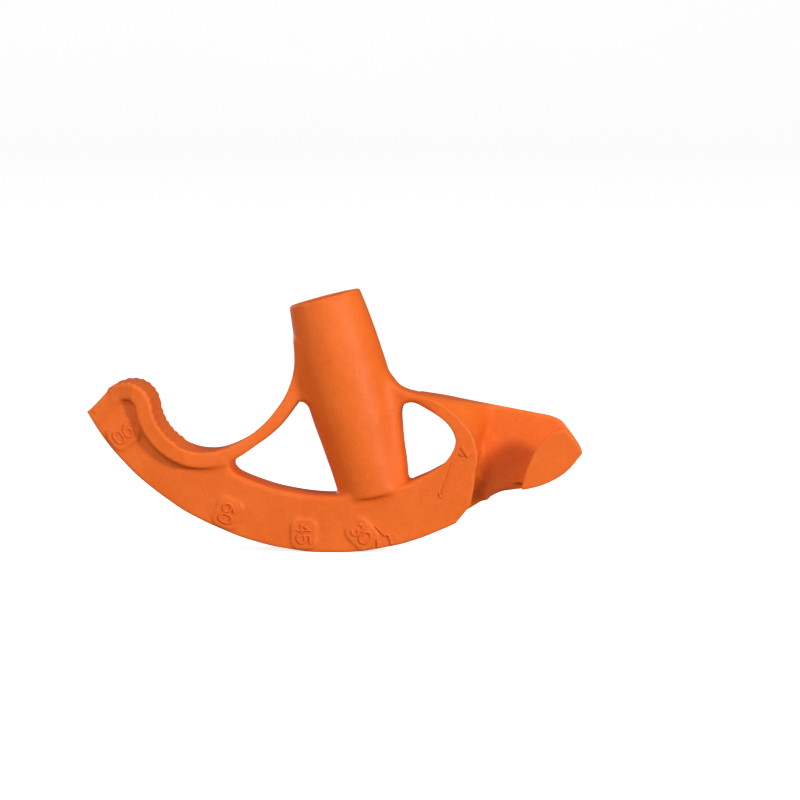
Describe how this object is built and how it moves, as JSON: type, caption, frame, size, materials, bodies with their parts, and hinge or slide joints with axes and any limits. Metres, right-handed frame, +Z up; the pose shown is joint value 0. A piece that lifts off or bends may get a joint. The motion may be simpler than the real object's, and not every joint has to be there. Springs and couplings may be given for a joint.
{
  "type": "conduit bender",
  "caption": "Cast head of a hand conduit bender: curved grooved shoe with degree marks, leaning handle socket, ribbed foot pedal and open hook.",
  "frame": {"origin": "lowest point of the shoe's rim, in the shoe's middle plane, straight below the centre of its arc", "axes": "+X along the shoe towards the hook, +Y across the shoe away from the numbered flank, +Z up"},
  "size_m": [0.287, 0.0512, 0.1518],
  "materials": {
    "orange_paint": "satin paint over sand-cast iron",
    "black_steel": "black oxide"
  },
  "bodies": {
    "head": {"far_flange_front": "orange_paint", "far_flange_rear": "orange_paint", "far_numerals_30": "orange_paint", "far_numerals_45": "orange_paint", "far_numerals_60": "orange_paint", "far_numerals_90": "orange_paint", "far_pad_30": "orange_paint", "far_pad_45": "orange_paint", "far_pad_60": "orange_paint", "far_pad_90": "orange_paint", "foot_pedal": "orange_paint", "front_strut": "orange_paint", "handle_socket": "orange_paint", "hook_cradle": "orange_paint", "hook_flange": "orange_paint", "hook_lip": "orange_paint", "hook_pointer": "orange_paint", "hook_root": "orange_paint", "hook_wall": "orange_paint", "near_flange": "orange_paint", "numerals_30": "orange_paint", "numerals_45": "orange_paint", "numerals_60": "orange_paint", "numerals_90": "orange_paint", "pad_30": "orange_paint", "pad_45": "orange_paint", "pad_60": "orange_paint", "pad_90": "orange_paint", "pedal_ribs": "orange_paint", "rear_strut": "orange_paint", "rear_web": "orange_paint", "shoe_bed": "orange_paint", "socket_foot": "orange_paint", "star_mark": "orange_paint", "start_arrow": "orange_paint"},
    "set_screw": {"set_screw": "black_steel"}
  },
  "joints": [
    {"name": "set_screw_advance", "type": "slide", "parent": "head", "child": "set_screw", "axis": [0, -1, 0], "range_m": [-0.004, 0.004]}
  ]
}
